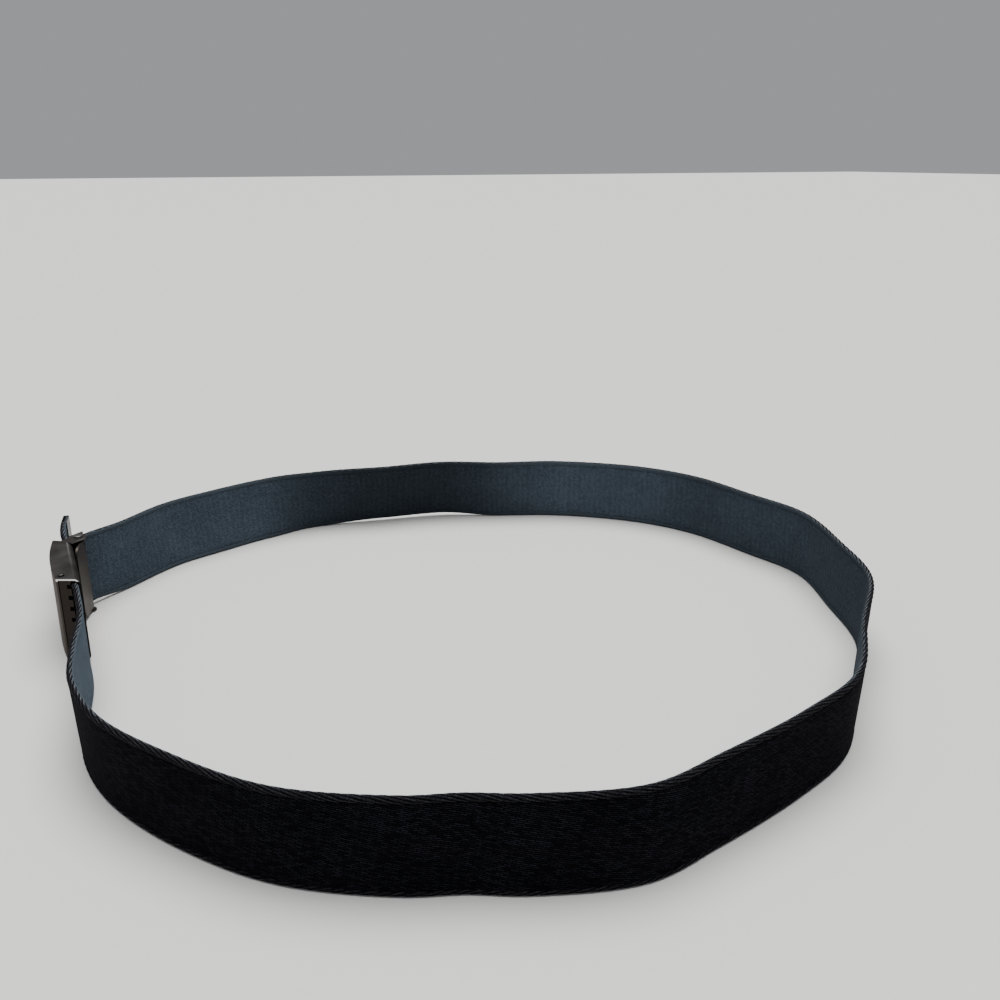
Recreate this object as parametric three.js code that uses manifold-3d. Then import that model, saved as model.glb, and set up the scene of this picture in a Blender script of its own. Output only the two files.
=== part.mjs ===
// Elastic stretch belt with a sheet metal plaque buckle, standing on its lower edge as a closed loop.
// Millimetres, +Z up. X runs along the buckle, from its far end to its mouth, and the buckle faces -Y.
// Y = 0 is the buckle's waist side and Z = 0 is the surface that the belt stands on.
import * as THREE from 'three';
import { mergeVertices } from 'three/addons/utils/BufferGeometryUtils.js';
import Module from 'manifold-3d';

const wasm = await Module();
wasm.setup();

// Webbing
const webWidth = 40;
const webThick = 3;
const webStep = 8;

// Open loop, measured on the middle of the webbing
const loopAcross = 392;
const loopDeep = 402;

// Route of the loop from the buckle's mouth round to the end clamp.
// across and deep are shares of loopAcross and loopDeep. lean is how far the top edge stands
// outside the bottom edge, and lift how high the bottom edge hangs, as shares of webWidth.
const loopColumns = ['across', 'deep', 'lean', 'lift'];
const loopRows = [
  [0.245, -0.008, 0.00, 0.025],
  [0.327, -0.021, 0.02, 0.00],
  [0.403, -0.026, 0.04, 0.00],
  [0.488, -0.010, 0.05, 0.00],
  [0.586, 0.040, 0.01, 0.00],
  [0.672, 0.106, 0.02, 0.00],
  [0.734, 0.197, 0.00, 0.00],
  [0.755, 0.247, -0.01, 0.00],
  [0.781, 0.296, -0.02, 0.00],
  [0.813, 0.393, 0.00, 0.00],
  [0.801, 0.478, 0.00, 0.00],
  [0.776, 0.593, 0.02, 0.00],
  [0.7415, 0.687, 0.045, 0.00],
  [0.650, 0.786, 0.025, 0.00],
  [0.555, 0.886, 0.03, 0.00],
  [0.454, 0.933, 0.02, 0.00],
  [0.337, 0.973, -0.03, 0.00],
  [0.235, 0.958, -0.03, 0.00],
  [0.122, 0.934, -0.01, 0.00],
  [0.033, 0.881, -0.01, 0.00],
  [-0.054, 0.779, -0.04, 0.00],
  [-0.099, 0.682, -0.09, 0.00],
  [-0.140, 0.590, -0.20, 0.050],
  [-0.161, 0.490, -0.21, 0.040],
  [-0.185, 0.383, -0.09, 0.00],
  [-0.176, 0.299, 0.10, 0.00],
  [-0.151, 0.214, 0.15, 0.00],
  [-0.122, 0.142, 0.14, 0.00],
  [-0.069, 0.075, 0.09, 0.00],
];

// Tail, from the far end of the buckle to the end of its metal tip.
// along is a share of tailLength and aside a share of tailDrift, towards the waist.
// tailStraight is how far inside the buckle the webbing is straight.
const tailLength = 48;
const tailDrift = 3;
const tailStraight = 4;
const tailColumns = ['along', 'aside'];
const tailRows = [
  [1.00, 1.00],
  [0.66, 0.12],
  [0.34, -0.20],
  [0.10, -0.08],
];

// Metal tip folded round the pressed end of the tail
const tipLength = 13.5;
const tipSheet = 0.5;
const tipShoulder = 1.6;
const tongueInset = 1.5;
const tongueThick = 1.6;

// Gaps between pieces, and the play between the webbing's edges and the end clamp's flanges
const gap = 0.3;
const edgePlay = 0.3;

// Buckle body
const bodyLength = 56.7;
const bodySheet = 0.8;
const farDepth = 9;
const mouthDepth = 10.7;
const plateBow = 2.2;
const mouthSlant = 5.3;
const farSlant = 6;
const cornerRadius = 3;

// Hinge at the far end of the buckle
const hingeRadius = 1.7;
const hingeX = 0;
const lugRadius = 4.4;
const lugBase = 2;
const pinHeadOver = 0.6;
const pinHeadHigh = 0.6;

// End clamp that holds the fixed end of the webbing, swung away from the buckle's line.
// The lever swings back until its free end all but touches the buckle's back wall.
const clampSwing = 53.7;
const leverSheet = 1.2;
const leverReach = 15;
const leverSwing = 19.5;
const leverCorner = 5;
const frameSheet = 0.5;
const frameReach = 9;
const frameEye = 3;

// Toothed locking bar at the mouth
const lockRadius = 1;
const lockFromMouth = 3.9;
const lockFromPlate = 2.25;
const barEyeWall = 0.65;
const barHeel = 3.6;
const barSetback = 0.4;
const toothPitch = 5.9;
const toothGap = 2.1;
const toothDeep = 1.8;

// How far the cutting shapes run past the solids they cut
const overshoot = 20;

// Fineness of rounds and curves
const roundSegments = 24;
const cornerSegments = 6;
const bowSegments = 16;
const routeSteps = 24;
const edgeSegments = 4;

// Sizes that follow from the ones above
const webLift = bodySheet + gap + frameSheet + edgePlay;
const bodyHeight = webWidth + 2 * webLift;
const tongueWidth = webWidth - 2 * tongueInset;
const webInner = -(bodySheet + gap);
const webMiddle = webInner - webThick / 2;
const bodyEnd = bodyLength + mouthSlant;
const barrelRadius = hingeRadius + gap + leverSheet;
const hingeY = gap + barrelRadius;
const swingAngle = THREE.MathUtils.degToRad(180 - clampSwing);
const frameNear = barrelRadius + gap + webThick + gap;
const clampLow = bodySheet + gap;
const clampHigh = bodyHeight - clampLow;

const metal = (name, color, roughness) => new THREE.MeshStandardMaterial({
  name, color, roughness, metalness: 0.9,
});
const webbingFinish = new THREE.MeshStandardMaterial({
  name: 'black_and_slate_webbing', color: 0x23292f, roughness: 0.92, metalness: 0,
});
const gunmetal = metal('gunmetal', 0x4b494a, 0.38);
const darkMetal = metal('dark_gunmetal', 0x3a3732, 0.45);
const pinMetal = metal('pin_steel', 0x6a6866, 0.35);
const tipMetal = metal('tip_metal', 0x77797a, 0.4);

function named(columns, row) {
  return Object.fromEntries(columns.map((column, k) => [column, row[k]]));
}

// Turns a closed geometry into a solid that can be cut and joined.
function solid(geometry) {
  const bare = geometry.clone();
  bare.deleteAttribute('normal');
  bare.deleteAttribute('uv');
  const merged = mergeVertices(bare, 1e-5);
  return new wasm.Manifold(new wasm.Mesh({
    numProp: 3,
    vertProperties: new Float32Array(merged.attributes.position.array),
    triVerts: new Uint32Array(merged.index.array),
  }));
}

function geometryOf(body) {
  const mesh = body.getMesh();
  const geometry = new THREE.BufferGeometry();
  geometry.setAttribute('position', new THREE.BufferAttribute(mesh.vertProperties, 3));
  geometry.setIndex(new THREE.BufferAttribute(mesh.triVerts, 1));
  geometry.computeVertexNormals();
  return geometry;
}

// Plan outline raised from one height to another.
function upright(shape, low, high, curveSegments = roundSegments) {
  const geometry = new THREE.ExtrudeGeometry(shape, {
    depth: high - low, bevelEnabled: false, curveSegments,
  });
  return geometry.translate(0, 0, low);
}

// Outline in Y and Z carried along X.
function lengthwise(shape, from, to) {
  const geometry = new THREE.ExtrudeGeometry(shape, {
    depth: to - from, bevelEnabled: false, curveSegments: cornerSegments,
  });
  const turn = new THREE.Matrix4().makeBasis(
    new THREE.Vector3(0, 1, 0), new THREE.Vector3(0, 0, 1), new THREE.Vector3(1, 0, 0));
  return geometry.applyMatrix4(turn).translate(from, 0, 0);
}

function polygon(points) {
  return new THREE.Shape(points.map(([x, y]) => new THREE.Vector2(x, y)));
}

function roundHole(x, y, radius) {
  const path = new THREE.Path();
  path.absarc(x, y, radius, 0, 2 * Math.PI, false);
  return path;
}

// Eye round a pin: straight sides from the first and last base corners, tangent to a circle.
// The corners run clockwise.
function eyeOutline(centre, radius, corners, holeRadius) {
  const [last, first] = [corners[0], corners.at(-1)];
  const tangent = (corner, side) => {
    const offset = corner.clone().sub(centre);
    return Math.atan2(offset.y, offset.x) + side * Math.acos(radius / offset.length());
  };
  const shape = new THREE.Shape();
  shape.setFromPoints(corners);
  shape.absarc(centre.x, centre.y, radius, tangent(first, -1), tangent(last, 1), true);
  shape.closePath();
  shape.holes.push(roundHole(centre.x, centre.y, holeRadius));
  return shape;
}

// Headed pin standing on end, turned as a closed profile.
function pinGeometry(radius) {
  const headUnder = bodyHeight + gap;
  const headRadius = radius + pinHeadOver;
  const profile = [
    [0, gap], [radius, gap], [radius, headUnder], [headRadius, headUnder],
    [headRadius, headUnder + pinHeadHigh / 2], [headRadius - pinHeadOver / 2, headUnder + pinHeadHigh],
    [0, headUnder + pinHeadHigh],
  ];
  const points = profile.map(([x, y]) => new THREE.Vector2(x, y));
  return new THREE.LatheGeometry(points, roundSegments).rotateX(Math.PI / 2);
}

// Middle line of the webbing: tail, straight run through the buckle, loop, end clamp.
function routePoints() {
  const rows = [];
  for (const row of tailRows) {
    const { along, aside } = named(tailColumns, row);
    rows.push({ x: -along * tailLength, y: webMiddle + aside * tailDrift, lean: 0, lift: webLift });
  }
  for (const x of [tailStraight, bodyEnd / 2, bodyEnd, bodyEnd + webStep]) {
    rows.push({ x, y: webMiddle, lean: 0, lift: webLift });
  }
  for (const row of loopRows) {
    const { across, deep, lean, lift } = named(loopColumns, row);
    rows.push({ x: across * loopAcross, y: deep * loopDeep, lean, lift: lift * webWidth });
  }
  const aside = barrelRadius + gap + webThick / 2;
  for (const along of [frameReach + gap, frameSheet]) {
    rows.push({
      x: hingeX + along * Math.cos(swingAngle) - aside * Math.sin(swingAngle),
      y: hingeY + along * Math.sin(swingAngle) + aside * Math.cos(swingAngle),
      lean: 0,
      lift: webLift,
    });
  }
  return rows;
}

// Close-set samples of the route, with the length run so far.
function routeSamples() {
  const rows = routePoints();
  const curve = new THREE.CatmullRomCurve3(rows.map(({ x, y }) => new THREE.Vector3(x, y, 0)));
  const samples = [];
  for (let k = 0; k < rows.length - 1; k += 1) {
    const last = k === rows.length - 2;
    for (let j = 0; j < routeSteps + (last ? 1 : 0); j += 1) {
      const part = j / routeSteps;
      const blend = part * part * (3 - 2 * part);
      const place = curve.getPoint((k + part) / (rows.length - 1));
      const before = samples.at(-1);
      samples.push({
        place,
        lean: THREE.MathUtils.lerp(rows[k].lean, rows[k + 1].lean, blend),
        lift: THREE.MathUtils.lerp(rows[k].lift, rows[k + 1].lift, blend),
        run: before ? before.run + place.distanceTo(before.place) : 0,
      });
    }
  }
  return samples;
}

const route = routeSamples();
const webLength = route.at(-1).run;

// Place, direction, lean and lift at a length from the end of the tail.
function routeAt(run) {
  let k = route.findIndex((sample) => sample.run > run) - 1;
  if (k < 0) k = run > 0 ? route.length - 2 : 0;
  const [a, b] = [route[k], route[k + 1]];
  const part = (run - a.run) / (b.run - a.run);
  const [before, after] = [route[Math.max(k - 1, 0)], route[Math.min(k + 2, route.length - 1)]];
  const along = after.place.clone().sub(before.place).normalize();
  return {
    place: a.place.clone().lerp(b.place, part),
    along,
    outward: new THREE.Vector3(along.y, -along.x, 0),
    lean: THREE.MathUtils.lerp(a.lean, b.lean, part),
    lift: THREE.MathUtils.lerp(a.lift, b.lift, part),
  };
}

// Section of the webbing, flat faces with rounded edges: offsets outward and upward.
function webSection(width, thick) {
  const radius = thick / 2;
  const points = [];
  for (const end of [1, -1]) {
    for (let k = 0; k <= edgeSegments; k += 1) {
      const angle = (k / edgeSegments) * Math.PI;
      points.push([end * radius * Math.cos(angle), end * (width / 2 - radius + radius * Math.sin(angle))]);
    }
  }
  return points;
}

// Closed skin over a row of rings, each with the same number of points.
function skin(rings) {
  const size = rings[0].length;
  const index = [];
  for (let k = 0; k < rings.length - 1; k += 1) {
    for (let j = 0; j < size; j += 1) {
      const [a, b] = [k * size + j, k * size + (j + 1) % size];
      index.push(a, a + size, b, b, a + size, b + size);
    }
  }
  const end = (rings.length - 1) * size;
  for (let j = 1; j < size - 1; j += 1) {
    index.push(0, j, j + 1, end, end + j + 1, end + j);
  }
  const geometry = new THREE.BufferGeometry();
  geometry.setAttribute('position', new THREE.Float32BufferAttribute(rings.flat().flat(), 3));
  geometry.setIndex(index);
  geometry.computeVertexNormals();
  return geometry;
}

// One continuous band of webbing, pressed to a thin tongue inside the metal tip.
function webbingStrap() {
  const tongueEnd = tipLength - tipShoulder;
  const runs = [0, tongueEnd / 2, tongueEnd, tipLength];
  const steps = Math.round((webLength - tipLength) / webStep);
  for (let k = 1; k <= steps; k += 1) {
    runs.push(tipLength + (k / steps) * (webLength - tipLength));
  }
  const rings = runs.map((run) => {
    const { place, outward, lean, lift } = routeAt(run);
    const pressed = run <= tongueEnd;
    const width = pressed ? tongueWidth : webWidth;
    const thick = pressed ? tongueThick : webThick;
    const tilt = Math.asin(lean);
    const rise = lift + webThick / 2 + (webWidth - webThick) / 2 * Math.cos(tilt);
    return webSection(width, thick).map(([out, up]) => {
      const side = out * Math.cos(tilt) + up * Math.sin(tilt);
      const point = place.clone().addScaledVector(outward, side);
      return [point.x, point.y, rise + up * Math.cos(tilt) - out * Math.sin(tilt)];
    });
  });
  return skin(rings);
}

// Metal strip folded round the tongue: a U in plan, closed at the end of the tail.
function tailTip() {
  const inner = tongueThick / 2 + gap;
  const outer = inner + tipSheet;
  const tipEnd = tipLength - tipShoulder - gap;
  const point = (run, offset) => {
    const { place, along, outward } = routeAt(Math.max(run, 0));
    const spot = place.addScaledVector(outward, offset).addScaledVector(along, Math.min(run, 0));
    return [spot.x, spot.y];
  };
  const runs = [0, 0.5, 1].map((part) => part * tipEnd);
  const back = [...runs].reverse();
  const outline = [
    ...back.map((run) => point(run, outer)),
    point(-gap, outer), point(-gap - tipSheet, inner),
    point(-gap - tipSheet, -inner), point(-gap, -outer),
    ...runs.map((run) => point(run, -outer)),
    ...back.map((run) => point(run, -inner)),
    point(-gap, -inner), point(-gap, inner),
    ...runs.map((run) => point(run, inner)),
  ];
  const low = webLift + (webWidth - tongueWidth) / 2 - gap;
  return upright(polygon(outline), low, bodyHeight - low);
}

// Depth of the bowed front plate's outer face behind Y = 0, at a place along the buckle.
function plateDepth(x) {
  const part = x / bodyLength;
  return THREE.MathUtils.lerp(farDepth, mouthDepth, part) + 4 * plateBow * part * (1 - part);
}

// Plan line of the front plate, moved inwards by a wall.
function plateLine(wall) {
  const points = [];
  for (let k = 0; k <= bowSegments; k += 1) {
    const x = bodyLength * k / bowSegments;
    points.push([x, wall - plateDepth(x)]);
  }
  return points;
}

// Section in Y and Z: square at the front plate, rounded where the sheet turns into the back wall.
function bodySection(wall) {
  const front = -(farDepth + mouthDepth + plateBow);
  const [low, high, back] = [wall, bodyHeight - wall, -wall];
  const radius = cornerRadius - wall;
  const shape = new THREE.Shape();
  shape.moveTo(front, low);
  shape.lineTo(back - radius, low);
  shape.absarc(back - radius, low + radius, radius, -Math.PI / 2, 0, false);
  shape.absarc(back - radius, high - radius, radius, 0, Math.PI / 2, false);
  shape.lineTo(front, high);
  shape.closePath();
  return shape;
}

const hinge = new THREE.Vector2(hingeX, hingeY);
const lockX = bodyLength - lockFromMouth;
const lockY = bodySheet + lockFromPlate - plateDepth(lockX);

// Folded sheet tube, open at the mouth and the far end, with two hinge lugs.
function buckleBody() {
  const outerPlan = polygon([...plateLine(0), [bodyEnd, 0], [farSlant, 0]]);
  const inner = plateLine(bodySheet);
  const innerPlan = polygon([
    [-overshoot, inner[0][1]], ...inner, [bodyEnd + overshoot, inner.at(-1)[1]],
    [bodyEnd + overshoot, -bodySheet], [-overshoot, -bodySheet],
  ]);
  const outside = solid(upright(outerPlan, 0, bodyHeight))
    .intersect(solid(lengthwise(bodySection(0), -overshoot, bodyEnd + overshoot)));
  const inside = solid(upright(innerPlan, bodySheet, bodyHeight - bodySheet))
    .intersect(solid(lengthwise(bodySection(bodySheet), -2 * overshoot, bodyEnd + 2 * overshoot)));
  let body = outside.subtract(inside);
  const lugCorners = [
    new THREE.Vector2(farSlant + lugBase, -bodySheet / 2),
    new THREE.Vector2(farSlant / 2, -farDepth / 2 - bodySheet),
  ];
  const lug = eyeOutline(hinge, lugRadius, lugCorners, hingeRadius + gap);
  for (const low of [0, bodyHeight - bodySheet]) {
    body = body.add(solid(upright(lug, low, low + bodySheet)));
    const drill = new THREE.CylinderGeometry(lockRadius + gap, lockRadius + gap, 4 * bodySheet, roundSegments);
    body = body.subtract(solid(drill.rotateX(Math.PI / 2).translate(lockX, lockY, low)));
  }
  return geometryOf(body);
}

// Bar that pinches the webbing against the back wall, with square gaps between its teeth.
// Its flat face fills the mouth from the front plate to the webbing.
function lockingBar() {
  const eye = new THREE.Vector2(lockX, lockY);
  const faceY = webMiddle - webThick / 2 - gap;
  const wallY = bodySheet + gap - plateDepth(bodyLength);
  const onFace = (y) => new THREE.Vector2(bodyEnd - barSetback + y * mouthSlant / mouthDepth, y);
  const corners = [new THREE.Vector2(lockX - barHeel, faceY), onFace(faceY), onFace(wallY)];
  const shape = eyeOutline(eye, lockRadius + gap + barEyeWall, corners, lockRadius + gap);
  const [low, high] = [clampLow, clampHigh];
  let bar = solid(upright(shape, low, high));
  const count = Math.floor((high - low) / toothPitch);
  for (let k = 0; k < count; k += 1) {
    const z = bodyHeight / 2 + (k - (count - 1) / 2) * toothPitch;
    const notch = new THREE.BoxGeometry(2 * overshoot, 2 * toothDeep, toothGap);
    bar = bar.subtract(solid(notch.translate(lockX, faceY, z)));
  }
  return geometryOf(bar);
}

// Lever of the end clamp: a barrel rolled round the hinge pin, and a thumb plate tangent to it.
function clampLever() {
  const inner = barrelRadius - leverSheet;
  const meet = Math.asin(inner / barrelRadius);
  const shape = new THREE.Shape();
  shape.moveTo(leverReach, barrelRadius);
  shape.lineTo(0, barrelRadius);
  shape.absarc(0, 0, barrelRadius, Math.PI / 2, meet, false);
  shape.lineTo(leverReach, inner);
  shape.closePath();
  shape.holes.push(roundHole(0, 0, hingeRadius + gap));
  const low = clampLow + frameSheet + gap;
  const high = bodyHeight - low;
  const side = new THREE.Shape();
  side.moveTo(-overshoot, low);
  side.lineTo(leverReach - leverCorner, low);
  side.absarc(leverReach - leverCorner, low + leverCorner, leverCorner, -Math.PI / 2, 0, false);
  side.absarc(leverReach - leverCorner, high - leverCorner, leverCorner, 0, Math.PI / 2, false);
  side.lineTo(-overshoot, high);
  side.closePath();
  const cutter = new THREE.ExtrudeGeometry(side, {
    depth: 2 * overshoot, bevelEnabled: false, curveSegments: cornerSegments,
  });
  cutter.rotateX(Math.PI / 2).translate(0, overshoot, 0);
  return geometryOf(solid(upright(shape, low, high)).intersect(solid(cutter)));
}

// Outer jaw of the end clamp: a wall behind the webbing and two flanges that turn on the pin.
// Its own X runs along the fixed end of the webbing, away from the hinge.
function clampFrame() {
  const wall = polygon([
    [frameSheet / 2, frameNear], [frameReach, frameNear],
    [frameReach, frameNear + frameSheet], [frameSheet / 2, frameNear + frameSheet],
  ]);
  const flangeCorners = [
    new THREE.Vector2(frameSheet / 2, frameNear + frameSheet),
    new THREE.Vector2(frameReach, frameNear + frameSheet),
  ];
  const flange = eyeOutline(new THREE.Vector2(0, 0), frameEye, flangeCorners, hingeRadius + gap);
  let frame = solid(upright(wall, clampLow, clampHigh));
  for (const low of [clampLow, clampHigh - frameSheet]) {
    frame = frame.add(solid(upright(flange, low, low + frameSheet)));
  }
  return geometryOf(frame);
}

function piece(name, geometry, material, x = 0, y = 0, z = 0) {
  const mesh = new THREE.Mesh(geometry, material);
  mesh.name = name;
  mesh.position.set(x, y, z);
  return mesh;
}

const belt = new THREE.Group();
belt.add(piece('webbing_strap', webbingStrap(), webbingFinish));
belt.add(piece('tail_tip', tailTip(), tipMetal));

const buckle = new THREE.Group();
buckle.add(piece('buckle_body', buckleBody(), gunmetal));
buckle.add(piece('locking_bar', lockingBar(), darkMetal));
buckle.add(piece('locking_pin', pinGeometry(lockRadius), pinMetal, lockX, lockY));
belt.add(buckle);

const endClamp = new THREE.Group();
endClamp.position.set(hingeX, hingeY, 0);
endClamp.add(piece('hinge_pin', pinGeometry(hingeRadius), pinMetal));
const leverTurn = new THREE.Group();
leverTurn.rotation.z = -THREE.MathUtils.degToRad(leverSwing);
leverTurn.add(piece('clamp_lever', clampLever(), darkMetal));
endClamp.add(leverTurn);
const frameTurn = new THREE.Group();
frameTurn.rotation.z = swingAngle;
frameTurn.add(piece('clamp_frame', clampFrame(), gunmetal));
endClamp.add(frameTurn);
belt.add(endClamp);

// The part's origin is the middle of its box, on the surface that it stands on.
belt.updateMatrixWorld(true);
const extent = new THREE.Box3().setFromObject(belt, true);
belt.position.set(-(extent.min.x + extent.max.x) / 2, -(extent.min.y + extent.max.y) / 2, -extent.min.z);

export default belt;
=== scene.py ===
"""Elastic stretch belt, standing on its lower edge as a closed loop: its looks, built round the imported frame.

Metres, +Z up, in the frame of the part. X runs along the buckle, which faces -Y, and the belt stands
on Z = 0.
"""

import bmesh
import bpy
import numpy as np
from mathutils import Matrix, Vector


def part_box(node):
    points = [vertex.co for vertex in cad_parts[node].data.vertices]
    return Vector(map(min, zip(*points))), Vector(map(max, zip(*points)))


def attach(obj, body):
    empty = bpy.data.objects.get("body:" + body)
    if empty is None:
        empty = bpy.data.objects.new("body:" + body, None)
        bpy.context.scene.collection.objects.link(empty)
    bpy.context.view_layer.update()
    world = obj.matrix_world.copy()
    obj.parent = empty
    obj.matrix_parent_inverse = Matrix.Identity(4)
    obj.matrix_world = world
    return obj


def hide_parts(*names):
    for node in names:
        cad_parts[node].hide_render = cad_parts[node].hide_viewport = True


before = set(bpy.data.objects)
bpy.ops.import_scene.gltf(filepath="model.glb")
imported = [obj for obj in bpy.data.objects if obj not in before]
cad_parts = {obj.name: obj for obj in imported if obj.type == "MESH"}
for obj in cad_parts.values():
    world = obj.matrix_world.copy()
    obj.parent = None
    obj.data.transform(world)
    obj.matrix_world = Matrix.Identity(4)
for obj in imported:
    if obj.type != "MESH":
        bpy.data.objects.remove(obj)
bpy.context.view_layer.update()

# Route of the webbing
# The strap is one straight length of stretch webbing. It is clamped at one end and runs round the waist,
# back through the buckle and out to its metal tip, so everything on it follows this one line.
MM = 0.001
WEB_WIDTH = 40 * MM
WEB_THICK = 3 * MM
# In the buckle: how high the lower edge hangs, how far the middle lies from the waist side, and how
# far the webbing runs on straight past the mouth
WEB_LIFT = 1.9 * MM
WEB_DEPTH = 2.6 * MM
WEB_STEP = 8 * MM
BUCKLE_LENGTH = 62 * MM
LUG_RADIUS = 4.4 * MM
HINGE_DEPTH = 3.5 * MM
TAIL_LENGTH = 48 * MM
TAIL_DRIFT = 3 * MM
TAIL_STRAIGHT = 4 * MM
LOOP_ACROSS = 392 * MM
LOOP_DEEP = 402 * MM
# The end clamp's turn about the hinge, and where the webbing runs in it
CLAMP_SWING = np.radians(180 - 53.7)
CLAMP_ASIDE = 5.0 * MM
CLAMP_NEAR = 0.5 * MM
CLAMP_FAR = 9.3 * MM
SPAN_STEPS = 40

# Shares of TAIL_LENGTH and TAIL_DRIFT
TAIL_ROWS = ((1.00, 1.00), (0.66, 0.12), (0.34, -0.20), (0.10, -0.08))
# Shares of LOOP_ACROSS and LOOP_DEEP, then the lean, and the lift as a share of WEB_WIDTH
LOOP_ROWS = (
    (0.245, -0.008, 0.00, 0.025), (0.327, -0.021, 0.02, 0.00), (0.403, -0.026, 0.04, 0.00),
    (0.488, -0.010, 0.05, 0.00), (0.586, 0.040, 0.01, 0.00), (0.672, 0.106, 0.02, 0.00),
    (0.734, 0.197, 0.00, 0.00), (0.755, 0.247, -0.01, 0.00), (0.781, 0.296, -0.02, 0.00),
    (0.813, 0.393, 0.00, 0.00), (0.801, 0.478, 0.00, 0.00), (0.776, 0.593, 0.02, 0.00),
    (0.7415, 0.687, 0.045, 0.00), (0.650, 0.786, 0.025, 0.00), (0.555, 0.886, 0.03, 0.00),
    (0.454, 0.933, 0.02, 0.00), (0.337, 0.973, -0.03, 0.00), (0.235, 0.958, -0.03, 0.00),
    (0.122, 0.934, -0.01, 0.00), (0.033, 0.881, -0.01, 0.00), (-0.054, 0.779, -0.04, 0.00),
    (-0.099, 0.682, -0.09, 0.00), (-0.140, 0.590, -0.20, 0.050), (-0.161, 0.490, -0.21, 0.040),
    (-0.185, 0.383, -0.09, 0.00), (-0.176, 0.299, 0.10, 0.00), (-0.151, 0.214, 0.15, 0.00),
    (-0.122, 0.142, 0.14, 0.00), (-0.069, 0.075, 0.09, 0.00),
)

buckle_low, buckle_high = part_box("buckle_body")
BUCKLE_CORNER = np.array([buckle_high.x - BUCKLE_LENGTH, buckle_high.y - HINGE_DEPTH - LUG_RADIUS])


def eased(t):
    """Smooth step from 0 to 1 as t goes from 0 to 1, by 3t^2 - 2t^3."""
    return 3 * t ** 2 - 2 * t ** 3


def route_stops():
    """Stops of the route, one row each: x and y from the buckle's corner, lean, lift."""
    stops = [(-along * TAIL_LENGTH, aside * TAIL_DRIFT - WEB_DEPTH, 0, WEB_LIFT)
             for along, aside in TAIL_ROWS]
    for x in (TAIL_STRAIGHT, BUCKLE_LENGTH / 2, BUCKLE_LENGTH, BUCKLE_LENGTH + WEB_STEP):
        stops.append((x, -WEB_DEPTH, 0, WEB_LIFT))
    for across, deep, lean, lift in LOOP_ROWS:
        stops.append((across * LOOP_ACROSS, deep * LOOP_DEEP, lean, lift * WEB_WIDTH))
    cosine, sine = np.cos(CLAMP_SWING), np.sin(CLAMP_SWING)
    for along in (CLAMP_FAR, CLAMP_NEAR):
        x = along * cosine - CLAMP_ASIDE * sine
        y = HINGE_DEPTH + along * sine + CLAMP_ASIDE * cosine
        stops.append((x, y, 0, WEB_LIFT))
    return np.array(stops, float)


def smooth_through(stops):
    """Centripetal Catmull-Rom curve through the stops.

    Each span is a cubic whose end slopes come from its neighbours, timed by the square roots of the
    chords. Lean and lift pass from stop to stop by a smooth step.
    """
    place = stops[:, :2]
    first, last = 2 * place[0] - place[1], 2 * place[-1] - place[-2]
    wide = np.vstack([first, place, last])
    a, b, c, d = wide[:-3], wide[1:-2], wide[2:-1], wide[3:]
    time = [np.sqrt(np.linalg.norm(q - p, axis=1, keepdims=True)) for p, q in ((a, b), (b, c), (c, d))]
    slope_in = ((b - a) / time[0] - (c - a) / (time[0] + time[1]) + (c - b) / time[1]) * time[1]
    slope_out = ((c - b) / time[1] - (d - b) / (time[1] + time[2]) + (d - c) / time[2]) * time[1]
    t = (np.arange(SPAN_STEPS) / SPAN_STEPS)[None, :, None]
    b, c, slope_in, slope_out = (v[:, None, :] for v in (b, c, slope_in, slope_out))
    square = 3 * (c - b) - 2 * slope_in - slope_out
    cube = 2 * (b - c) + slope_in + slope_out
    curve = (b + slope_in * t + square * t ** 2 + cube * t ** 3).reshape(-1, 2)
    blend = eased(t)
    rest = (stops[:-1, None, 2:] * (1 - blend) + stops[1:, None, 2:] * blend).reshape(-1, 2)
    return np.vstack([np.hstack([curve, rest]), stops[-1]])


route = smooth_through(route_stops())
route[:, :2] += BUCKLE_CORNER
route_run = np.concatenate([[0], np.cumsum(np.linalg.norm(np.diff(route[:, :2], axis=0), axis=1))])
route_way = np.gradient(route[:, :2], route_run, axis=0)
WEB_LENGTH = route_run[-1]


def on_webbing(run, out, up):
    """Places on the webbing, for arrays of one shape.

    run is the length from the end of the tail, out the distance outwards from the middle of the
    thickness, and up the distance up the width from its middle. The width tilts by asin(lean), and
    its middle stands lift + thickness / 2 + (width - thickness) / 2 * cos(tilt) above the table.
    """
    x, y, lean, lift = (np.interp(run, route_run, route[:, k]) for k in range(4))
    way = np.stack([np.interp(run, route_run, route_way[:, k]) for k in range(2)])
    way /= np.linalg.norm(way, axis=0)
    tilt = np.arcsin(lean)
    side = out * np.cos(tilt) + up * np.sin(tilt)
    middle = lift + WEB_THICK / 2 + (WEB_WIDTH - WEB_THICK) / 2 * np.cos(tilt)
    height = middle + up * np.cos(tilt) - out * np.sin(tilt)
    return np.stack([x + way[1] * side, y - way[0] * side, height], axis=-1)


# Webbing band
# A flat narrow weave with two faces: fine black twill outside and slate grey inside. Its end is pressed
# thin inside the metal tip, and the folds it was packed in have left faint creases across it.
TIP_LENGTH = 13.5 * MM
TONGUE_LENGTH = 11.9 * MM
TONGUE_WIDTH = 37 * MM
TONGUE_THICK = 1.6 * MM
BAND_THICK = 2.6 * MM
BAND_STEP = 1.6 * MM
BAND_COLUMNS = 16
FACE_DIP = 0.22 * MM
DIP_REACH = 0.12
RIPPLE_HEIGHT = 0.05 * MM
RIPPLE_ALONG = 11 * MM
RIPPLE_ACROSS = 3
RIPPLE_SWELL = 37 * MM
CREASE_HEIGHT = 0.22 * MM
CREASE_REACH = 1.8 * MM
# Lengths from the clamped end to each crease
CREASES = (76 * MM, 146 * MM)
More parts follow.
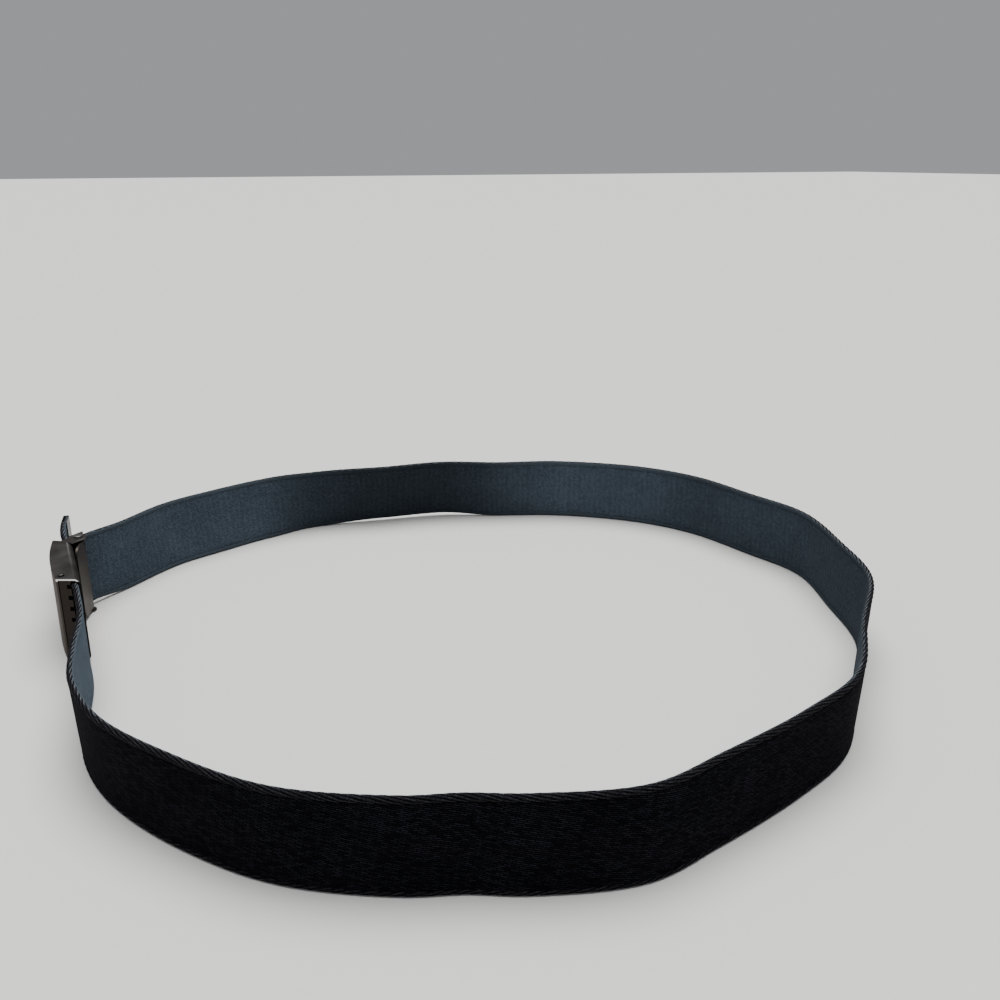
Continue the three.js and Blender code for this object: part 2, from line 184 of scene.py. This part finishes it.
# Painted light and shade: how pale the slate face is painted at lengths in millimetres from the clamped end
SLATE_PAINTED_SHADING = ((0, 1.0), (100, 1.1), (130, 1.1), (150, 0.9), (165, 0.7), (200, 0.45), (250, 0.4),
               (285, 0.6), (310, 1.0), (345, 1.3), (400, 1.2), (440, 0.85), (500, 0.9), (560, 0.7),
               (620, 0.6), (760, 1.0), (1080, 1.5), (1180, 1.5))
BLACK_YARN = (0.0095, 0.0095, 0.0132, 1)
BLACK_GAP = (0.0003, 0.0003, 0.0006, 1)
SLATE_YARN = (0.077, 0.101, 0.128, 1)
SLATE_GAP = (0.019, 0.026, 0.034, 1)
# The gap between rows as a share of their pitch, and each row's shift as a share of a float's length
YARN_GAP = 0.42
ROW_OFFSET = 0.37
# The weave is drawn on a map in millimetres, so these count a noise's waves in a millimetre
FRAY_SCALE = 1.3
CLOUD_SCALE = 0.045
FIBRE_SCALE = 5.0
FIBRE_SPREAD = 0.4
FIBRE_RELIEF = 0.4
RIB_PITCH = 3.6
RIB_WANDER = 2.0
RIB_WANDER_SCALE = 0.6
WEAVE_BUMP = 0.8
CLOTH_ROUGHNESS = 0.9
# Nearly all of a noise's values lie between these
NOISE_RANGE = (0.3, 0.7)


def pressed(run):
    """0 inside the metal tip and 1 past it, by a smooth step over the shoulder."""
    return eased(np.clip((run - TONGUE_LENGTH) / (TIP_LENGTH - TONGUE_LENGTH), 0, 1))


def ring_mesh(name, rings, places, values):
    """Closed tube from rings of points (rings, around, 3), with its two ends capped.

    places are texture places (rings, around + 1, 2), and values holds a number for each point
    (rings, around) for each attribute's name.
    """
    count, around = rings.shape[:2]
    row, column = np.meshgrid(np.arange(count - 1), np.arange(around), indexing="ij")
    beside = (column + 1) % around
    corners = np.stack([row * around + column, row * around + beside,
                        (row + 1) * around + beside, (row + 1) * around + column], axis=-1)
    caps = [list(range(around))[::-1], list(range((count - 1) * around, count * around))]
    mesh = bpy.data.meshes.new(name)
    mesh.from_pydata(rings.reshape(-1, 3).tolist(), [], corners.reshape(-1, 4).tolist() + caps)
    of_sides = np.stack([places[row, column], places[row, column + 1],
                         places[row + 1, column + 1], places[row + 1, column]], axis=2)
    of_caps = np.concatenate([places[0, :-1][::-1], places[-1, :-1]])
    layer = mesh.uv_layers.new(name="webbing_mm")
    layer.data.foreach_set("uv", np.concatenate([of_sides.reshape(-1), of_caps.reshape(-1)]))
    for value_name, numbers in values.items():
        attribute = mesh.attributes.new(value_name, "FLOAT", "POINT")
        attribute.data.foreach_set("value", numbers.reshape(-1).astype(np.float32))
    mesh.polygons.foreach_set("use_smooth", np.ones(len(mesh.polygons), bool))
    mesh.validate()
    made = bpy.data.objects.new(name, mesh)
    bpy.context.scene.collection.objects.link(made)
    return made


def slate_painted_shading(run):
    """Painted light and shade on the slate face at a length from the tail's end, in straight steps between the
    stops of SLATE_PAINTED_SHADING.
    """
    lengths, tones = np.array(SLATE_PAINTED_SHADING).T
    return np.interp((WEB_LENGTH - run) / MM, lengths, tones)


def band_rings():
    """Rings round the band, with their texture places and the slate face's painted light and shade.

    The outer face goes up and the inner face comes down. Beside the selvages each dips by
    FACE_DIP * exp(-(edge distance / DIP_REACH)^2). Two crossed sines ripple the band, and each crease
    is a ridge CREASE_HEIGHT * exp(-(distance / CREASE_REACH)^2) towards the waist.
    """
    run = np.linspace(0, WEB_LENGTH, int(WEB_LENGTH / BAND_STEP))[:, None]
    across = np.linspace(-1, 1, BAND_COLUMNS)
    share = np.concatenate([across, across[::-1]])[None, :]
    side = np.concatenate([np.ones(BAND_COLUMNS), -np.ones(BAND_COLUMNS)])[None, :]
    grown = pressed(run)
    half_width = (TONGUE_WIDTH + (WEB_WIDTH - TONGUE_WIDTH) * grown) / 2 - WEB_THICK / 2
    half_thick = (TONGUE_THICK + (BAND_THICK - TONGUE_THICK) * grown) / 2
    dip = FACE_DIP * grown * np.exp(-((1 - abs(share)) / DIP_REACH) ** 2)
    ripple = RIPPLE_HEIGHT * np.sin(run / RIPPLE_ALONG + RIPPLE_ACROSS * share) * np.sin(run / RIPPLE_SWELL)
    crease = sum(CREASE_HEIGHT * np.exp(-((run - WEB_LENGTH + place) / CREASE_REACH) ** 2)
                 for place in CREASES)
    out = side * (half_thick - dip) + ripple * grown - crease
    up = share * half_width + 0 * run
    rings = on_webbing(run + 0 * up, out, up)
    width = np.concatenate([across, across[::-1], across[:1]])[None, :] * WEB_WIDTH / 2
    places = np.stack([(run + 0 * width) / MM, (width + 0 * run) / MM], axis=-1)
    return rings, places, {"tone_and_painted_shading": slate_painted_shading(run) + 0 * up}


def feed(tree, socket, value):
    """Links a socket into an input, or sets the input to a plain value."""
    if isinstance(value, bpy.types.NodeSocket):
        tree.links.new(value, socket)
    else:
        socket.default_value = value


def add(tree, kind, inputs=None, **settings):
    """Adds a shader node. inputs are set by place or name, and settings are the node's own properties."""
    made = tree.nodes.new(kind)
    for name, value in settings.items():
        setattr(made, name, value)
    for name, value in (inputs or {}).items():
        feed(tree, made.inputs[name], value)
    return made


def noise(tree, place, scale, detail):
    """Outputs of a noise texture, Fac and Color."""
    return add(tree, "ShaderNodeTexNoise", {"Vector": place, "Scale": scale, "Detail": detail}).outputs


def calculate(tree, operation, a, b, c=0.0, clamp=False):
    """One step of arithmetic on values. MULTIPLY_ADD is a * b + c."""
    return add(tree, "ShaderNodeMath", {0: a, 1: b, 2: c}, operation=operation, use_clamp=clamp).outputs[0]


def remap(tree, value, given=(0.0, 1.0), wanted=(0.0, 1.0)):
    """Takes the range given to the range wanted, in a straight line that stops at its ends."""
    ends = {1: given[0], 2: given[1], 3: wanted[0], 4: wanted[1]}
    return add(tree, "ShaderNodeMapRange", {"Value": value, **ends}).outputs[0]


def blend_colours(tree, factor, a, b, blend="MIX"):
    """Mixes two colours."""
    mix = add(tree, "ShaderNodeMix", {0: factor, 6: a, 7: b}, data_type="RGBA", blend_type=blend)
    return mix.outputs[2]


def shade_colour(tree, colour, shade):
    """Multiplies a colour by a value."""
    grey = add(tree, "ShaderNodeCombineColor", {0: shade, 1: shade, 2: shade}).outputs[0]
    return blend_colours(tree, 1.0, colour, grey, "MULTIPLY")


def raise_surface(tree, shader, height, strength, distance):
    """Bumps a shader's surface by a height from 0 to 1."""
    bump = add(tree, "ShaderNodeBump", {"Height": height, "Strength": strength, "Distance": distance})
    feed(tree, shader.inputs["Normal"], bump.outputs[0])


def effect_group(name, takes, gives):
    """Empty node group with named inputs and outputs, each a pair of name and kind."""
    group = bpy.data.node_groups.new(name, "ShaderNodeTree")
    for way, sockets in (("INPUT", takes), ("OUTPUT", gives)):
        for label, kind in sockets:
            group.interface.new_socket(label, in_out=way, socket_type="NodeSocket" + kind)
    return group, group.nodes.new("NodeGroupInput").outputs, group.nodes.new("NodeGroupOutput").inputs


def new_material(name):
    """New material, its node tree and its Principled shader."""
    material = bpy.data.materials.new(name)
    material.use_nodes = True
    return material, material.node_tree, material.node_tree.nodes["Principled BSDF"]


def yarn_rows_group():
    """Rows of short yarn floats: a slanted, offset brick pattern whose edges stray by noise.

    Height is 1 on a yarn and 0 between yarns, Tone differs from float to float, and Cloudy drifts
    slowly over the face.
    """
    group, given, result = effect_group(
        "yarn_rows",
        [("Place", "Vector"), ("Slant", "Float"), ("Float Length", "Float"), ("Pitch", "Float"),
         ("Fray", "Float")],
        [("Height", "Float"), ("Tone", "Float"), ("Cloudy", "Float")])
    turned = add(group, "ShaderNodeVectorRotate", {"Vector": given["Place"], "Angle": given["Slant"]},
                 rotation_type="Z_AXIS").outputs[0]
    stray = noise(group, turned, FRAY_SCALE, detail=2.0)["Color"]
    centred = add(group, "ShaderNodeVectorMath", {0: stray, 1: (0.5, 0.5, 0.5)}, operation="SUBTRACT")
    moved = add(group, "ShaderNodeVectorMath", {0: centred.outputs[0], "Scale": given["Fray"]},
                operation="SCALE")
    place = add(group, "ShaderNodeVectorMath", {0: turned, 1: moved.outputs[0]}, operation="ADD")
    brick = add(group, "ShaderNodeTexBrick", {
        "Vector": place.outputs[0], "Color1": (0, 0, 0, 1), "Color2": (1, 1, 1, 1),
        "Mortar": (0.5, 0.5, 0.5, 1), "Mortar Size": calculate(group, "MULTIPLY", given["Pitch"], YARN_GAP),
        "Mortar Smooth": 1.0, "Scale": 1.0, "Bias": 0.0, "Brick Width": given["Float Length"],
        "Row Height": given["Pitch"]}, offset=ROW_OFFSET).outputs
    tone_and_painted_shading = add(group, "ShaderNodeSeparateColor", {0: brick["Color"]}).outputs[0]
    cloud = noise(group, given["Place"], CLOUD_SCALE, detail=3.0)["Fac"]
    feed(group, result["Height"], calculate(group, "SUBTRACT", 1.0, brick["Fac"]))
    feed(group, result["Tone"], tone_and_painted_shading)
    feed(group, result["Cloudy"], cloud)
    return group


YARN_ROWS = yarn_rows_group()


def yarn_rows(tree, place, slant, float_length, pitch, fray):
    """Outputs of the shared rows of yarn floats, with lengths in millimetres."""
    rows = add(tree, "ShaderNodeGroup", node_tree=YARN_ROWS)
    for label, value in (("Place", place), ("Slant", slant), ("Float Length", float_length),
                         ("Pitch", pitch), ("Fray", fray)):
        feed(tree, rows.inputs[label], value)
    return rows.outputs


def woven_material(name, yarn, gap, slant, float_length, pitch, relief, shine, spread, fray, cloud, rib,
                   takes_painted_shading):
    """Woven face: yarn colour on the floats and gap colour between them, with the rows' relief.

    spread is how much one float differs from the next, fray how far the floats stray in millimetres,
    cloud how much the wide soft patches differ, rib how much the faint ribs across the webbing do,
    and takes_painted_shading says that the face takes the band's painted light and shade.
    """
    material, tree, cloth = new_material(name)
    place = add(tree, "ShaderNodeUVMap", uv_map="webbing_mm").outputs[0]
    rows = yarn_rows(tree, place, slant, float_length, pitch, fray)
    fibre = noise(tree, place, FIBRE_SCALE, detail=3.0)["Fac"]
    ribs = add(tree, "ShaderNodeTexWave", {
        "Vector": place, "Scale": np.pi / 10 / RIB_PITCH, "Distortion": RIB_WANDER, "Detail": 2.0,
        "Detail Scale": RIB_WANDER_SCALE}).outputs["Fac"]
    shade = remap(tree, rows["Tone"], wanted=(1 - spread, 1 + spread))
    for value, given, share in ((rows["Cloudy"], NOISE_RANGE, cloud), (fibre, NOISE_RANGE, FIBRE_SPREAD),
                                (ribs, (0.0, 1.0), rib)):
        shade = calculate(tree, "MULTIPLY", shade, remap(tree, value, given, (1 - share, 1 + share)))
    # The slate face's painted light and shade along the run, lighter and darker by stretches
    if takes_painted_shading:
        tone_and_painted_shading = add(tree, "ShaderNodeAttribute", attribute_name="tone_and_painted_shading").outputs["Fac"]
        shade = calculate(tree, "MULTIPLY", shade, tone_and_painted_shading)
    colour = blend_colours(tree, rows["Height"], gap, yarn)
    feed(tree, cloth.inputs["Base Color"], shade_colour(tree, colour, shade))
    raised = calculate(tree, "MULTIPLY_ADD", fibre, FIBRE_RELIEF, rows["Height"])
    raise_surface(tree, cloth, raised, WEAVE_BUMP, relief)
    cloth.inputs["Roughness"].default_value = CLOTH_ROUGHNESS
    cloth.inputs["Specular IOR Level"].default_value = shine
    return material


band_points, band_places, band_values = band_rings()
band = ring_mesh("webbing_band", band_points, band_places, band_values)
band.data.materials.append(woven_material(
    "black_twill", BLACK_YARN, BLACK_GAP, slant=0.2, float_length=2.8, pitch=0.85, relief=0.13 * MM,
    shine=0.02, spread=0.7, fray=0.35, cloud=0.2, rib=0.06, takes_painted_shading=False))
band.data.materials.append(woven_material(
    "slate_weave", SLATE_YARN, SLATE_GAP, slant=-0.6, float_length=1.1, pitch=0.55, relief=0.09 * MM,
    shine=0.05, spread=0.4, fray=0.2, cloud=0.08, rib=0.05, takes_painted_shading=True))
# Slate from the top edge down the inner face and under the lower edge, and black on the two end caps
slate_faces = np.tile(np.arange(2 * BAND_COLUMNS) >= BAND_COLUMNS - 1, len(band_points) - 1)
band.data.polygons.foreach_set("material_index", np.concatenate([slate_faces, [0, 0]]).astype(np.int32))

# Selvages
# Each edge of the webbing is finished with a round cord of slanting strands, bound in as it is woven.
# Black strands alternate with grey ones, and the side by the slate face is the lighter.
CORD_RADIUS = 1.5 * MM
CORD_PITCH = 5.2 * MM
CORD_STRANDS = 7
CORD_AROUND = 42
CORD_STEPS_A_PITCH = 6
STRAND_DEPTH = 0.28 * MM
# Each slow sine that makes the strands uneven: how far it shifts them, its length and its start
STRAND_SHIFTS = ((0.9, 9.1 * MM, 0), (0.6, 3.7 * MM, 1.3))
# How far round to the slate face, from 0 to 1, the strands fade out and the grey ones turn pale
STRANDS_FADE = (0.78, 0.92)
PALE_FROM = (0.42, 0.58)
CORD_GREY = (0.035, 0.034, 0.041, 1)
CORD_BLACK = (0.0025, 0.0025, 0.0034, 1)
CORD_SLATE = (0.075, 0.097, 0.118, 1)
CORD_PALE = (0.165, 0.182, 0.20, 1)
CORD_SHINE = 0.05
CORD_BUMP = 0.7
CORD_RELIEF = 0.12 * MM
STRAY_SCALE = 1.5
STRAND_STRAY = 0.4
STRAND_EDGE = (0.25, 0.8)
YARN_SHADES = (0.2, 1.0)
FLOAT_SHADES = (0.35, 1.5)


def selvage_rings(edge):
    """Rings round one selvage cord: a circle whose radius falls by STRAND_DEPTH between strands.

    The strand pattern's phase is run / pitch plus strands * angle, so the strands slant as a screw,
    and two slow sines of run make them uneven. They fade out where the cord meets the slate face.
    edge is 1 for the upper edge and -1 for the lower.
    """
    count = int(WEB_LENGTH / CORD_PITCH * CORD_STEPS_A_PITCH)
    run = np.linspace(0, WEB_LENGTH, count)[:, None]
    angle = np.linspace(0, 2 * np.pi, CORD_AROUND + 1)[None, :]
    uneven = sum(shift * np.sin(run / length + start) for shift, length, start in STRAND_SHIFTS)
    phase = 2 * np.pi * run / CORD_PITCH + CORD_STRANDS * angle + uneven
    strand = 0.5 + 0.5 * np.cos(phase)
    grown = pressed(run)
    radius = (TONGUE_THICK + (2 * CORD_RADIUS - TONGUE_THICK) * grown) / 2
    half_width = (TONGUE_WIDTH + (WEB_WIDTH - TONGUE_WIDTH) * grown) / 2
    inward = 0.5 - 0.5 * np.cos(angle) + 0 * run
    bound = 1 - np.interp(inward, STRANDS_FADE, (0, 1))
    reach = radius - STRAND_DEPTH * grown * bound * (1 - np.sqrt(strand))
    out = reach * np.cos(angle)
    up = edge * (half_width - radius + reach * np.sin(angle))
    rings = on_webbing(run + 0 * up, out, up)
    places = np.stack([(run + 0 * angle) / MM, angle * CORD_RADIUS / MM + 0 * run], axis=-1)
    # The cord's slate side takes the same painted light and shade along the run as the slate face
    tone_and_painted_shading = slate_painted_shading(run) + 0 * angle
    if edge > 0:
        rings, places, strand, inward = (v[:, ::-1] for v in (rings, places, strand, inward))
    values = {"strand": strand[:, :-1], "inward": inward[:, :-1], "tone_and_painted_shading": tone_and_painted_shading[:, :-1]}
    return rings[:, :-1], places, values


def selvage_material():
    """Strands: grey yarn on each strand's crown and black between, pale and then slate at the slate face."""
    material, tree, cloth = new_material("selvage_cord")
    place = add(tree, "ShaderNodeUVMap", uv_map="webbing_mm").outputs[0]
    crown, inward, tone_and_painted_shading = (add(tree, "ShaderNodeAttribute", attribute_name=name).outputs["Fac"]
                           for name in ("strand", "inward", "tone_and_painted_shading"))
    rows = yarn_rows(tree, place, slant=0.3, float_length=1.9, pitch=0.6, fray=0.4)
    stray = remap(tree, noise(tree, place, STRAY_SCALE, detail=3.0)["Fac"], NOISE_RANGE,
                  (-STRAND_STRAY, STRAND_STRAY))
    strands = remap(tree, calculate(tree, "ADD", crown, stray), STRAND_EDGE)
    yarn = remap(tree, rows["Height"], wanted=YARN_SHADES)
    shade = calculate(tree, "MULTIPLY", yarn, remap(tree, rows["Tone"], wanted=FLOAT_SHADES))
    seen = calculate(tree, "MULTIPLY", strands, shade, clamp=True)
    crown_colour = blend_colours(tree, remap(tree, inward, PALE_FROM), CORD_GREY, CORD_PALE)
    outer = blend_colours(tree, seen, CORD_BLACK, crown_colour)
    # The slate side of the cord in the painted light and shade along the run
    inner = blend_colours(tree, yarn, CORD_BLACK, shade_colour(tree, CORD_SLATE, tone_and_painted_shading))
    colour = blend_colours(tree, remap(tree, inward, STRANDS_FADE), outer, inner)
    feed(tree, cloth.inputs["Base Color"], colour)
    raise_surface(tree, cloth, rows["Height"], CORD_BUMP, CORD_RELIEF)
    cloth.inputs["Roughness"].default_value = CLOTH_ROUGHNESS
    cloth.inputs["Specular IOR Level"].default_value = CORD_SHINE
    return material


cord_finish = selvage_material()
selvages = []
for name, edge in (("upper_selvage", 1), ("lower_selvage", -1)):
    cord = ring_mesh(name, *selvage_rings(edge))
    cord.data.materials.append(cord_finish)
    selvages.append(cord)
for piece in (band, *selvages):
    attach(piece, "root")
    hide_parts("webbing_strap")

# Buckle body
# A tube folded from steel sheet, with a gunmetal finish. Its front plate bows gently and is bare. The sheet's
# cut edge across the mouth has a painted highlight along its top and painted shade below.
SHARP_ANGLE = np.radians(32)
FLAT_ANGLE = np.radians(0.6)
WELD_DISTANCE = 0.002 * MM
BEVEL_SEGMENTS = 2
# The mouth's cut edge faces along (depth, -slant). A face is part of it if the cosine of the angle between the
# two is over CUT_EDGE_FACING. It takes the painted highlight within HIGHLIGHT_REACH of the top, and painted
# shade below that.
MOUTH_DEPTH = 10.7 * MM
MOUTH_SLANT = 5.3 * MM
MOUTH_FACING = np.array([MOUTH_DEPTH, -MOUTH_SLANT, 0]) / np.hypot(MOUTH_DEPTH, MOUTH_SLANT)
CUT_EDGE_FACING = 0.985
HIGHLIGHT_REACH = 1.3 * MM
GUNMETAL = (0.098, 0.093, 0.091, 1)
DULL_RIM = (0.38, 0.355, 0.33, 1)
WHITE = (1, 1, 1, 1)
# Painted highlight and painted shade for the cut edge: its top is painted light and the rest painted dark
PAINTED_HIGHLIGHT_EDGE = (0.70, 0.69, 0.67, 1)
PAINTED_SHADE_EDGE = (0.06, 0.054, 0.048, 1)
GRAIN_SCALE = 6000.0
GRAIN_STRETCH = 0.06
GRAIN_BUMP = 0.35
GRAIN_RELIEF = 0.01 * MM
SMUDGE_SCALE = 110.0
SMUDGE_SHADE = 0.5
SMUDGE_DULLING = 0.25
GRAIN_DULLING = 0.1
# What smudges and grain add to the roughness on average
MEAN_DULLING = 0.17


def finished_copy(node, name, bevel, cut_height=None):
    """Copy of a solid node with its loose triangles joined and its edges rounded by a narrow bevel.

    cut_height parts its faces there, so that the two parts can take different finishes.
    """
    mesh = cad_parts[node].data.copy()
    mesh.name = name
    mesh.materials.clear()
    work = bmesh.new()
    work.from_mesh(mesh)
    bmesh.ops.remove_doubles(work, verts=work.verts, dist=WELD_DISTANCE)
    bmesh.ops.dissolve_limit(work, angle_limit=FLAT_ANGLE, verts=work.verts, edges=work.edges)
    if cut_height:
        parts = [*work.verts, *work.edges, *work.faces]
        bmesh.ops.bisect_plane(work, geom=parts, plane_co=(0, 0, cut_height), plane_no=(0, 0, 1))
    work.to_mesh(mesh)
    work.free()
    made = bpy.data.objects.new(name, mesh)
    bpy.context.scene.collection.objects.link(made)
    rounding = made.modifiers.new("rounded_edges", "BEVEL")
    rounding.width = bevel
    rounding.segments = BEVEL_SEGMENTS
    rounding.limit_method = "ANGLE"
    rounding.angle_limit = SHARP_ANGLE
    rounding.use_clamp_overlap = True
    rounding.harden_normals = True
    mesh.polygons.foreach_set("use_smooth", np.ones(len(mesh.polygons), bool))
    mesh.set_sharp_from_angle(angle=SHARP_ANGLE)
    return made


def satin_metal_group():
    """Fine grain drawn out along Z, with soft smudges. Grain and Smudge run from 0 to 1."""
    group, given, result = effect_group(
        "satin_metal", [("Place", "Vector")], [("Grain", "Float"), ("Smudge", "Float")])
    drawn = add(group, "ShaderNodeMapping", {"Vector": given["Place"], "Scale": (1, 1, GRAIN_STRETCH)})
    feed(group, result["Grain"], noise(group, drawn.outputs[0], GRAIN_SCALE, detail=3.0)["Fac"])
    feed(group, result["Smudge"], noise(group, given["Place"], SMUDGE_SCALE, detail=4.0)["Fac"])
    return group


SATIN_METAL = satin_metal_group()


def metal_material(name, colour, roughness, rim=WHITE):
    """Satin plated steel: colour and roughness stir a little with the smudges and the drawn grain.
    rim tints the light that it throws back at a low angle."""
    material, tree, steel = new_material(name)
    satin = add(tree, "ShaderNodeGroup", node_tree=SATIN_METAL)
    feed(tree, satin.inputs["Place"], add(tree, "ShaderNodeTexCoord").outputs["Object"])
    grain, smudge = satin.outputs["Grain"], satin.outputs["Smudge"]
    shade = calculate(tree, "MULTIPLY_ADD", smudge, SMUDGE_SHADE, 1 - SMUDGE_SHADE / 2)
    feed(tree, steel.inputs["Base Color"], shade_colour(tree, colour, shade))
    by_grain = calculate(tree, "MULTIPLY_ADD", grain, GRAIN_DULLING, roughness - MEAN_DULLING)
    feed(tree, steel.inputs["Roughness"], calculate(tree, "MULTIPLY_ADD", smudge, SMUDGE_DULLING, by_grain))
    raise_surface(tree, steel, grain, GRAIN_BUMP, GRAIN_RELIEF)
    steel.inputs["Metallic"].default_value = 1.0
    steel.inputs["Specular Tint"].default_value = rim
    return material


def dress(node, name, finish, bevel, edge_finishes=(), cut_height=None):
    """Beveled copy of a node in its finish, riding in the node's place."""
    made = finished_copy(node, name, bevel, cut_height)
    for one_finish in (finish, *edge_finishes):
        made.data.materials.append(one_finish)
    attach(made, "root")
    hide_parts(node)
    return made


gunmetal = metal_material("gunmetal_satin", GUNMETAL, roughness=0.42, rim=DULL_RIM)
# The cut edge's painted highlight along the top and painted shade below
painted_highlight_edge = metal_material("cut_edge_painted_highlight", PAINTED_HIGHLIGHT_EDGE, roughness=0.35)
painted_shade_edge = metal_material("cut_edge_painted_shade", PAINTED_SHADE_EDGE, roughness=0.55)
highlight_from = buckle_high.z - HIGHLIGHT_REACH
body = dress("buckle_body", "buckle_tube", gunmetal, bevel=0.18 * MM,
             edge_finishes=(painted_highlight_edge, painted_shade_edge), cut_height=highlight_from)
facing, middles = np.empty((2, 3 * len(body.data.polygons)))
body.data.polygons.foreach_get("normal", facing)
body.data.polygons.foreach_get("center", middles)
on_cut_edge = facing.reshape(-1, 3) @ MOUTH_FACING > CUT_EDGE_FACING
# Cut edge faces near the top take the painted highlight, and the rest of the cut edge painted shade
in_painted_highlight = middles.reshape(-1, 3)[:, 2] > highlight_from
body_finish = np.where(on_cut_edge, np.where(in_painted_highlight, 1, 2), 0)
body.data.polygons.foreach_set("material_index", body_finish.astype(np.int32))

# Locking bar and its pin
# A dark steel bar with square teeth. It turns at the mouth on a thin pin through both flanges, and
# pinches the webbing against the back wall.
BAR_STEEL = (0.032, 0.027, 0.023, 1)

bar_steel = metal_material("bar_steel_satin", BAR_STEEL, roughness=0.5)
dress("locking_bar", "toothed_bar", bar_steel, bevel=0.15 * MM)
dress("locking_pin", "bar_pin", gunmetal, bevel=0.12 * MM)

# End clamp
# A lever of plated sheet, rolled round the hinge pin, lies on the buckle's back wall. A frame of thinner
# sheet swings on the same pin and holds the fixed end of the webbing against the lever.
DARK_GUNMETAL = (0.065, 0.056, 0.049, 1)
PIN_STEEL = (0.15, 0.145, 0.14, 1)

dark_gunmetal = metal_material("dark_gunmetal_satin", DARK_GUNMETAL, roughness=0.45)
pin_steel = metal_material("pin_steel_satin", PIN_STEEL, roughness=0.38)
dress("hinge_pin", "clamp_pin", pin_steel, bevel=0.15 * MM)
dress("clamp_lever", "thumb_lever", dark_gunmetal, bevel=0.2 * MM)
dress("clamp_frame", "clamp_jaw", gunmetal, bevel=0.15 * MM)

# Metal tip
# A strip of thin plated steel, folded over the pressed end of the tail and squeezed flat, so that the
# webbing's cut end can't fray.
TIP_METAL = (0.11, 0.112, 0.112, 1)

tip_metal = metal_material("tip_metal_satin", TIP_METAL, roughness=0.42)
dress("tail_tip", "folded_tip", tip_metal, bevel=0.1 * MM)

# Studio
# A plain pale floor, one broad soft light overhead, and pale light all round. The camera stands where
# the photograph was taken from.
FLOOR_HALF = 12.0
FLOOR_COLOUR = (0.82, 0.805, 0.78, 1)
FLOOR_ROUGHNESS = 0.8
LAMP_STRENGTH = 3.95
LAMP_SPREAD = np.radians(50)
LAMP_HEIGHT = 2.0
LAMP_TURN = (np.radians(-6), np.radians(-8), 0)
SURROUND_COLOUR = (0.93, 0.95, 1.0, 1)
SURROUND_STRENGTH = 0.36
CAMERA_FROM_BUCKLE = (0.552, -0.0125)
CAMERA_HEIGHT = 0.238
CAMERA_PITCH = np.radians(90 - 19)
CAMERA_TURN = np.radians(64)
CAMERA_LENS = 36
CAMERA_SENSOR = 36
CAMERA_CLIP = (0.01, 50)

corners = np.array([[-1, -1], [1, -1], [1, 1], [-1, 1]]) * FLOOR_HALF
floor_mesh = bpy.data.meshes.new("pale_floor")
floor_mesh.from_pydata([(x, y, 0) for x, y in corners], [], [(0, 1, 2, 3)])
floor = bpy.data.objects.new("pale_floor", floor_mesh)
bpy.context.scene.collection.objects.link(floor)
floor_finish, _, floor_paint = new_material("pale_matt_floor")
floor_paint.inputs["Base Color"].default_value = FLOOR_COLOUR
floor_paint.inputs["Roughness"].default_value = FLOOR_ROUGHNESS
floor_mesh.materials.append(floor_finish)

lamp_data = bpy.data.lights.new("overhead_light", "SUN")
lamp_data.energy = LAMP_STRENGTH
lamp_data.angle = LAMP_SPREAD
lamp = bpy.data.objects.new("overhead_light", lamp_data)
lamp.location = (0, 0, LAMP_HEIGHT)
lamp.rotation_euler = LAMP_TURN
bpy.context.scene.collection.objects.link(lamp)

world = bpy.data.worlds.new("studio_surround")
world.use_nodes = True
surround = world.node_tree.nodes["Background"]
surround.inputs["Color"].default_value = SURROUND_COLOUR
surround.inputs["Strength"].default_value = SURROUND_STRENGTH
bpy.context.scene.world = world

camera_data = bpy.data.cameras.new("photo_camera")
camera_data.lens = CAMERA_LENS
camera_data.sensor_width = CAMERA_SENSOR
camera_data.clip_start, camera_data.clip_end = CAMERA_CLIP
camera = bpy.data.objects.new("photo_camera", camera_data)
camera.location = (*(BUCKLE_CORNER + CAMERA_FROM_BUCKLE), CAMERA_HEIGHT)
camera.rotation_euler = (CAMERA_PITCH, 0, CAMERA_TURN)
bpy.context.scene.collection.objects.link(camera)
bpy.context.scene.camera = camera
